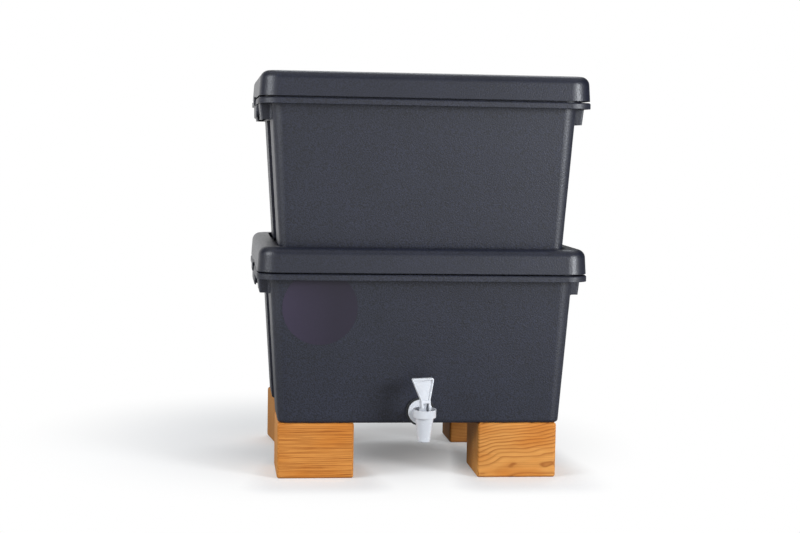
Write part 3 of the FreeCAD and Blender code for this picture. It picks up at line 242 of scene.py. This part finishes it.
def pressed_rubber(settings):
    """Black nitrile rubber, pressed: matt, with a faint pale bloom."""
    material, tree, place = new_material("pressed_nitrile_rubber")
    bloom = add_node(tree, "TexNoise", place, Scale=1 / (1.2 * MM), Detail=3.0)
    bloom_share = add_node(tree, "MapRange", bloom, 0.4, 0.8, 0.0, 0.35)
    tint = add_node(tree, "Mix", bloom_share, settings.rubber, settings.rubber_bloom,
                    data_type="RGBA")
    rounded = add_node(tree, "Bevel", 0.4 * MM, samples=6)
    bump = add_node(tree, "Bump", Strength=0.2, Distance=0.05 * MM, Height=bloom, Normal=rounded)
    shader = add_node(tree, "BsdfPrincipled", Base_Color=tint, Roughness=0.45, IOR=1.52,
                      Normal=bump)
    add_node(tree, "OutputMaterial", shader)
    return material


def drawn_steel(settings):
    """Stainless spring wire, drawn through a die: fine bright streaks."""
    material, tree, place = new_material("drawn_stainless_wire")
    streaks = add_node(tree, "TexNoise", place, Scale=1 / (0.4 * MM), Detail=2.0)
    tint = add_node(tree, "Mix", streaks, settings.wire_dull, settings.wire_bright,
                    data_type="RGBA")
    polish = add_node(tree, "MapRange", streaks, 0.3, 0.7, 0.22, 0.38)
    shader = add_node(tree, "BsdfPrincipled", Base_Color=tint, Metallic=1.0, Roughness=polish)
    add_node(tree, "OutputMaterial", shader)
    return material


def woven_steel(settings):
    """Plain-woven stainless mesh: wires both ways, each over and under the next, with open
    holes between them. A wire's height follows a half circle from edge to edge."""
    material, tree, place = new_material("woven_stainless_mesh")
    half_pitch, half_wire = settings.mesh_pitch / 2, settings.mesh_wire / 2
    axes = add_node(tree, "SeparateXYZ", place).outputs
    gaps, humps = [], []
    for axis in (axes["X"], axes["Y"]):
        offset = add_node(tree, "Math", axis, half_pitch, operation="PINGPONG")
        gaps.append(add_node(tree, "Math", offset, half_wire, operation="GREATER_THAN"))
        to_edge = add_node(tree, "MapRange", offset, 0.0, half_wire)
        squared = add_node(tree, "Math", to_edge, 2.0, operation="POWER")
        left_over = add_node(tree, "Math", 1.0, squared, operation="SUBTRACT")
        humps.append(add_node(tree, "Math", left_over, operation="SQRT"))
    gap = add_node(tree, "Math", *gaps, operation="MINIMUM")
    over = add_node(tree, "TexChecker", place, Scale=1 / settings.mesh_pitch).outputs["Fac"]
    height = add_node(tree, "Mix", over, *humps)
    bump = add_node(tree, "Bump", Strength=0.8, Distance=half_wire, Height=height)
    steel = add_node(tree, "BsdfPrincipled", Base_Color=settings.mesh_steel, Metallic=1.0,
                     Roughness=0.32, Normal=bump)
    clear = add_node(tree, "BsdfTransparent")
    add_node(tree, "OutputMaterial", add_node(tree, "MixShader", gap, steel, clear))
    return material


# Each block is cut from another place in the log. The pith is the log's centre line: its
# offset back from the block's middle and up, the year rings' width and their waver are given
# in millimetres, with its slope along the block and the block's turn in degrees. The others are
# shares: how strongly the rings and the fibres' streaks show, the least that the stain covers,
# and how much painted shade darkens the whole block towards a darker brown, which is only on
# the rear blocks, where the tub shades them.
CUTS = {
    "front_left_block": {"turn": 0.0, "pith": (60.0, -190.0), "slope": 0.01, "ring": 5.2,
                         "waver": 1.0, "rings": 0.5, "streaks": 0.8, "stain": 0.45, "painted_shade": 0.0},
    "front_right_block": {"turn": -0.2, "pith": (-16.0, -24.0), "slope": 0.17, "ring": 3.6,
                          "waver": 8.0, "rings": 0.95, "streaks": 0.25, "stain": 0.1, "painted_shade": 0.0},
    "rear_left_block": {"turn": 7.0, "pith": (40.0, 90.0), "slope": 0.05, "ring": 4.0,
                        "waver": 4.0, "rings": 0.8, "streaks": 0.5, "stain": 0.2, "painted_shade": 0.38},
    "rear_right_block": {"turn": 0.6, "pith": (-60.0, 70.0), "slope": -0.08, "ring": 4.4,
                         "waver": 4.0, "rings": 0.8, "streaks": 0.5, "stain": 0.2, "painted_shade": 0.58},
}

# How dark the wood is through one year, from 0 at the ring's inner edge to 1 at its outer edge.
YEAR_SHADES = ((0.0, 0.35), (0.12, 0.06), (0.5, 0.0), (0.82, 0.6), (0.94, 1.0), (1.0, 0.35))


def drawn_out_noise(tree, block, along, across, **settings):
    """Noise drawn out to a size along and across the block's grain, in millimetres."""
    drawn_out = add_node(tree, "Mapping", block, Scale=(1 / along, 1 / across, 1 / across))
    return add_node(tree, "TexNoise", drawn_out, Scale=1.0, **settings)


def ring_pattern(tree, block, cut):
    """Year rings about the pith: a band that darkens towards each ring's outer edge, and is
    stronger in some years than in others."""
    axes = add_node(tree, "SeparateXYZ", block).outputs
    pith_back, pith_up = cut["pith"]
    back = add_node(tree, "Math", axes["Y"], pith_back, operation="SUBTRACT")
    levelled = add_node(tree, "Math", axes["X"], -cut["slope"], axes["Z"],
                        operation="MULTIPLY_ADD")
    up = add_node(tree, "Math", levelled, pith_up, operation="SUBTRACT")
    from_pith = add_node(tree, "CombineXYZ", 0.0, back, up)
    reach = add_node(tree, "VectorMath", from_pith, operation="LENGTH")
    waver = drawn_out_noise(tree, block, along=91.0, across=45.5, Detail=2.5)
    wavering = add_node(tree, "Math", waver, 2 * cut["waver"], reach, operation="MULTIPLY_ADD")
    years = add_node(tree, "Math", wavering, cut["ring"], operation="DIVIDE")
    season = add_node(tree, "Math", years, operation="FRACT")
    band = add_node(tree, "ValToRGB", season)
    elements = band.color_ramp.elements
    while len(elements) < len(YEAR_SHADES):
        elements.new(1.0)
    for element, (place, shade) in zip(elements, YEAR_SHADES):
        element.position = place
        element.color = (shade, shade, shade, 1.0)
    year = add_node(tree, "Math", years, operation="FLOOR")
    chance = add_node(tree, "TexWhiteNoise", year, noise_dimensions="1D")
    strength = add_node(tree, "MapRange", chance, To_Min=0.55)
    return add_node(tree, "Math", band, strength, operation="MULTIPLY")


def stained_pine(settings, node_name):
    """Planed pine under a honey-coloured satin varnish. The year rings run through the whole
    block, so its long faces show bands and its ends show arcs. The stain lies unevenly, and
    end grain drinks more of it."""
    cut = CUTS[node_name]
    low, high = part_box(node_name)
    material, tree, place = new_material("stained_pine_" + node_name)
    block = add_node(tree, "Mapping", place, vector_type="TEXTURE", Location=(low + high) / 2,
                     Rotation=(0.0, 0.0, math.radians(cut["turn"])), Scale=(MM, MM, MM))
    patches = drawn_out_noise(tree, block, along=83.0, across=33.0, Detail=2.0)
    stain = add_node(tree, "MapRange", patches, 0.38, 0.66, cut["stain"], 0.9)
    stained = add_node(tree, "Mix", stain, settings.earlywood, settings.varnish,
                       data_type="RGBA")
    band = ring_pattern(tree, block, cut)
    ring = add_node(tree, "Math", band, cut["rings"], operation="MULTIPLY")
    ringed = add_node(tree, "Mix", ring, stained, settings.latewood, data_type="RGBA")
    fibres = drawn_out_noise(tree, block, along=settings.fibre_length / MM,
                             across=settings.fibre / MM, Detail=3.0, Roughness=0.6)
    streak = add_node(tree, "MapRange", fibres, 0.36, 0.52, cut["streaks"], 0.0)
    streaked = add_node(tree, "Mix", streak, ringed, settings.latewood, data_type="RGBA")
    facing = add_node(tree, "SeparateXYZ", place.node.outputs["Normal"]).outputs["X"]
    endways = add_node(tree, "Math", facing, operation="ABSOLUTE")
    end = add_node(tree, "MapRange", endways, 0.6, 0.95, 0.0, 0.45)
    wood = add_node(tree, "Mix", end, streaked, settings.end_grain, data_type="RGBA")
    # Painted shade: the rear blocks, which stand in the tub's shadow, are mixed by their share
    # towards a darker brown.
    shade_darkened = add_node(tree, "Mix", cut["painted_shade"], wood, settings.shade_brown, data_type="RGBA")
    polish = add_node(tree, "MapRange", band, To_Min=0.66, To_Max=0.58)
    relief = add_node(tree, "Math", fibres, 0.6, band, operation="MULTIPLY_ADD")
    rounded = add_node(tree, "Bevel", 0.6 * MM, samples=6)
    bump = add_node(tree, "Bump", Strength=0.25, Distance=0.25 * MM, Height=relief,
                    Normal=rounded)
    shader = add_node(tree, "BsdfPrincipled", Base_Color=shade_darkened, Roughness=polish, IOR=1.5,
                      Specular_IOR_Level=0.2, Normal=bump)
    add_node(tree, "OutputMaterial", shader)
    return material


class WORMERY_OT_tubs(bpy.types.Operator):
    """Finish the tubs and lids"""

    bl_idname = "wormery.tubs"
    bl_label = "Tubs and lids"

    def execute(self, context):
        settings = context.scene.wormery_plastics
        grained = moulded_polypropylene(settings, "grained_recycled_polypropylene",
                                        shaded_hollow=0.33, crest=1.0, matt=0.44)
        smoother = moulded_polypropylene(settings, "smoother_recycled_polypropylene",
                                         shaded_hollow=0.42, crest=0.88, matt=0.37)
        paint(grained, "lower_box", "upper_box")
        paint(smoother, "lower_lid", "upper_lid")
        return {"FINISHED"}


class WORMERY_OT_label(bpy.types.Operator):
    """Finish the bare round label"""

    bl_idname = "wormery.label"
    bl_label = "Label"

    def execute(self, context):
        paint(label_vinyl(context.scene.wormery_plastics), "label_disc")
        return {"FINISHED"}


class WORMERY_OT_feet(bpy.types.Operator):
    """Finish the four timber blocks"""

    bl_idname = "wormery.feet"
    bl_label = "Timber feet"

    def execute(self, context):
        for name in CUTS:
            paint(stained_pine(context.scene.wormery_timber, name), name)
        return {"FINISHED"}


class WORMERY_OT_tap(bpy.types.Operator):
    """Finish the tap and its seals"""

    bl_idname = "wormery.tap"
    bl_label = "Tap"

    def execute(self, context):
        settings = context.scene.wormery_plastics
        paint(glossy_polypropylene(settings),
              "tap_body", "tap_bonnet", "tap_lever", "tap_stem", "back_nut")
        paint(pressed_rubber(settings),
              "outer_washer", "inner_washer", "bonnet_gasket", "stem_seal")
        paint(drawn_steel(context.scene.wormery_wire), "lever_pin", "return_spring")
        return {"FINISHED"}


class WORMERY_OT_meshes(bpy.types.Operator):
    """Finish the drain mesh and the air mesh"""

    bl_idname = "wormery.meshes"
    bl_label = "Meshes"

    def execute(self, context):
        paint(woven_steel(context.scene.wormery_wire), "drain_mesh", "vent_mesh")
        return {"FINISHED"}


# Place and size in metres of each soft box, and the point near the object's middle that all face.
LAMPS = {
    "key_lamp": {"place": (1.85, -1.9, 0.7), "width": 0.9, "height": 0.8},
    "fill_lamp": {"place": (-2.2, -1.1, 1.2), "width": 1.3, "height": 1.4},
    "back_lamp": {"place": (0.4, 1.5, 2.2), "width": 1.6, "height": 1.0},
}
LAMP_AIM = Vector((0.0, 0.0, 0.27))


def area_lamp(name, watts, tint):
    """Soft box turned to face the object."""
    data = bpy.data.lights.new(name, "AREA")
    data.shape = "RECTANGLE"
    data.size = LAMPS[name]["width"]
    data.size_y = LAMPS[name]["height"]
    data.energy = watts
    data.color = tint
    place = Vector(LAMPS[name]["place"])
    lamp = bpy.data.objects.new(name, data)
    lamp.location = place
    lamp.rotation_euler = (LAMP_AIM - place).to_track_quat("-Z", "Y").to_euler()
    bpy.context.scene.collection.objects.link(lamp)


def white_room(strength):
    """White to the eye all round. In reflections it has a soft box overhead in a dim ceiling,
    and it is dark at the sides and behind the right, as a studio is beyond its lit sweep. As
    light it is plain. Each part begins and ends at a height or breadth of the unit vector that
    a ray looks along."""
    world = bpy.data.worlds.new("white_room")
    bpy.context.scene.world = world
    world.use_nodes = True
    tree = world.node_tree
    tree.nodes.clear()
    way = add_node(tree, "TexCoord").outputs["Generated"]
    axes = add_node(tree, "SeparateXYZ", way).outputs
    ceiling = add_node(tree, "MapRange", axes["Z"], 0.2, 0.6, 1.0, 0.12,
                       interpolation_type="SMOOTHSTEP")
    ahead_or_back = add_node(tree, "Math", axes["Y"], operation="ABSOLUTE")
    sides = add_node(tree, "MapRange", ahead_or_back, 0.55, 0.85, 0.15, 1.0,
                     interpolation_type="SMOOTHSTEP")
    back_half = add_node(tree, "Math", axes["Y"], 0.0, operation="GREATER_THAN")
    right_of_it = add_node(tree, "Math", axes["X"], back_half, operation="MULTIPLY")
    behind_right = add_node(tree, "MapRange", right_of_it, 0.05, 0.24, 1.0, 0.1,
                            interpolation_type="SMOOTHSTEP")
    overhead = add_node(tree, "MapRange", axes["Z"], 0.58, 0.85, 0.0, 0.7,
                        interpolation_type="SMOOTHSTEP")
    lit_walls = add_node(tree, "Math", ceiling, sides, operation="MULTIPLY")
    walls = add_node(tree, "Math", lit_walls, behind_right, overhead, operation="MULTIPLY_ADD")
    path = add_node(tree, "LightPath").outputs
    reflected = add_node(tree, "Math", path["Is Glossy Ray"], path["Is Transmission Ray"],
                         operation="MAXIMUM")
    unseen = add_node(tree, "MapRange", reflected, To_Min=strength, To_Max=walls)
    level = add_node(tree, "MapRange", path["Is Camera Ray"], To_Min=unseen, To_Max=1.0)
    room = add_node(tree, "Background", WHITE, level)
    add_node(tree, "OutputWorld", room)


# In metres: the middle of the floor's shadow, which falls back and to the left, and the two
# lines of feet, by their distance from the object's middle and half their width and length.
SHADE_MIDDLE = (-0.11, 0.17, 0.0)
FEET_LINE = (0.138, 0.0, 0.0)
FEET_HALF = (0.054, 0.19, 0.0)


def distance_from_feet(tree, place):
    """Distance on the floor from the two lines of feet."""
    folded = add_node(tree, "VectorMath", place, operation="ABSOLUTE")
    from_line = add_node(tree, "VectorMath", folded, FEET_LINE, operation="SUBTRACT")
    spread = add_node(tree, "VectorMath", from_line, operation="ABSOLUTE")
    past_edge = add_node(tree, "VectorMath", spread, FEET_HALF, operation="SUBTRACT")
    outside = add_node(tree, "VectorMath", past_edge, (0.0, 0.0, 0.0), operation="MAXIMUM")
    return add_node(tree, "VectorMath", outside, operation="LENGTH")


def seamless_floor():
    """White paper that keeps the object's shadow near it and fades into the white room, by a
    share of glow that grows over the given distances in metres. In reflections it brightens
    away from the object and is dark behind the right. It throws less light back at the object
    than it shows."""
    mesh = bpy.data.meshes.new("floor")
    shape = bmesh.new()
    bmesh.ops.create_grid(shape, x_segments=1, y_segments=1, size=30.0)
    shape.to_mesh(mesh)
    shape.free()
    floor = bpy.data.objects.new("floor", mesh)
    bpy.context.scene.collection.objects.link(floor)
    material, tree, place = new_material("white_studio_paper")
    path = add_node(tree, "LightPath").outputs
    from_shade = add_node(tree, "VectorMath", place, SHADE_MIDDLE, operation="DISTANCE")
    near = add_node(tree, "MapRange", from_shade, 0.12, 0.5, 0.15, 1.0,
                    interpolation_type="SMOOTHSTEP")
    halo = add_node(tree, "MapRange", distance_from_feet(tree, place), 0.0, 0.075, 0.2, 1.0,
                    interpolation_type="SMOOTHSTEP")
    shown = add_node(tree, "Math", near, halo, operation="MINIMUM")
    direct = add_node(tree, "Math", shown, path["Is Camera Ray"], operation="MULTIPLY")
    far = add_node(tree, "MapRange", from_shade, 0.4, 2.1, 0.1, 1.0,
                   interpolation_type="SMOOTHSTEP")
    axes = add_node(tree, "SeparateXYZ", place).outputs
    behind = add_node(tree, "Math", axes["Y"], 0.25, operation="GREATER_THAN")
    right_of_it = add_node(tree, "Math", axes["X"], behind, operation="MULTIPLY")
    unlit = add_node(tree, "MapRange", right_of_it, 0.05, 0.4, 1.0, 0.1,
                     interpolation_type="SMOOTHSTEP")
    sweep = add_node(tree, "Math", far, unlit, operation="MULTIPLY")
    mirrored = add_node(tree, "Math", sweep, path["Is Glossy Ray"], operation="MULTIPLY")
    glow_share = add_node(tree, "Math", direct, mirrored, operation="MAXIMUM")
    white_level = add_node(tree, "MapRange", path["Is Camera Ray"], To_Min=0.35, To_Max=0.96)
    paper = add_node(tree, "BsdfDiffuse", white_level)
    glow = add_node(tree, "Emission", WHITE)
    add_node(tree, "OutputMaterial", add_node(tree, "MixShader", glow_share, paper, glow))
    mesh.materials.append(material)


def photo_camera(studio):
    """Camera at the photograph's place, turned from level by its yaw, tilt and roll."""
    data = bpy.data.cameras.new("photo_camera")
    data.sensor_fit = "HORIZONTAL"
    data.sensor_width = SENSOR_WIDTH
    data.lens = SENSOR_WIDTH * studio.focal_pixels / PHOTO_WIDTH
    data.clip_start = 0.05
    data.clip_end = 100.0
    camera = bpy.data.objects.new("photo_camera", data)
    camera.matrix_world = (Matrix.Translation(studio.camera_place)
                           @ Matrix.Rotation(studio.camera_yaw, 4, "Z")
                           @ Matrix.Rotation(math.pi / 2 + studio.camera_pitch, 4, "X")
                           @ Matrix.Rotation(studio.camera_roll, 4, "Z"))
    bpy.context.scene.collection.objects.link(camera)
    bpy.context.scene.camera = camera


class WORMERY_OT_stage(bpy.types.Operator):
    """Set up the floor, the room, the lamps and the camera"""

    bl_idname = "wormery.stage"
    bl_label = "Stage"

    def execute(self, context):
        studio = context.scene.wormery_studio
        context.scene.view_settings.view_transform = "Standard"
        white_room(studio.room_light)
        seamless_floor()
        for name in LAMPS:
            area_lamp(name, getattr(studio, name), studio.lamp_tint)
        photo_camera(studio)
        return {"FINISHED"}


OPERATORS = (WORMERY_OT_tubs, WORMERY_OT_label, WORMERY_OT_feet, WORMERY_OT_tap,
             WORMERY_OT_meshes, WORMERY_OT_stage)
SETTINGS = {
    "wormery_plastics": WormeryPlastics,
    "wormery_timber": WormeryTimber,
    "wormery_wire": WormeryWire,
    "wormery_studio": WormeryStudio,
}


class WORMERY_PT_panel(bpy.types.Panel):
    """Lists the wormery's steps and settings"""

    bl_idname = "WORMERY_PT_panel"
    bl_label = "Wormery"
    bl_space_type = "VIEW_3D"
    bl_region_type = "UI"
    bl_category = "Wormery"

    def draw(self, context):
        for operator in OPERATORS:
            self.layout.operator(operator.bl_idname)
        for name, group in SETTINGS.items():
            column = self.layout.column()
            for key in group.__annotations__:
                column.prop(getattr(context.scene, name), key)


def register():
    for name, group in SETTINGS.items():
        bpy.utils.register_class(group)
        setattr(bpy.types.Scene, name, PointerProperty(type=group))
    for operator in OPERATORS:
        bpy.utils.register_class(operator)
    bpy.utils.register_class(WORMERY_PT_panel)


def unregister():
    bpy.utils.unregister_class(WORMERY_PT_panel)
    for operator in reversed(OPERATORS):
        bpy.utils.unregister_class(operator)
    for name, group in SETTINGS.items():
        delattr(bpy.types.Scene, name)
        bpy.utils.unregister_class(group)


def main():
    register()
    bpy.ops.wormery.tubs()
    bpy.ops.wormery.label()
    bpy.ops.wormery.feet()
    bpy.ops.wormery.tap()
    bpy.ops.wormery.meshes()
    bpy.ops.wormery.stage()


if __name__ == "__main__":
    main()
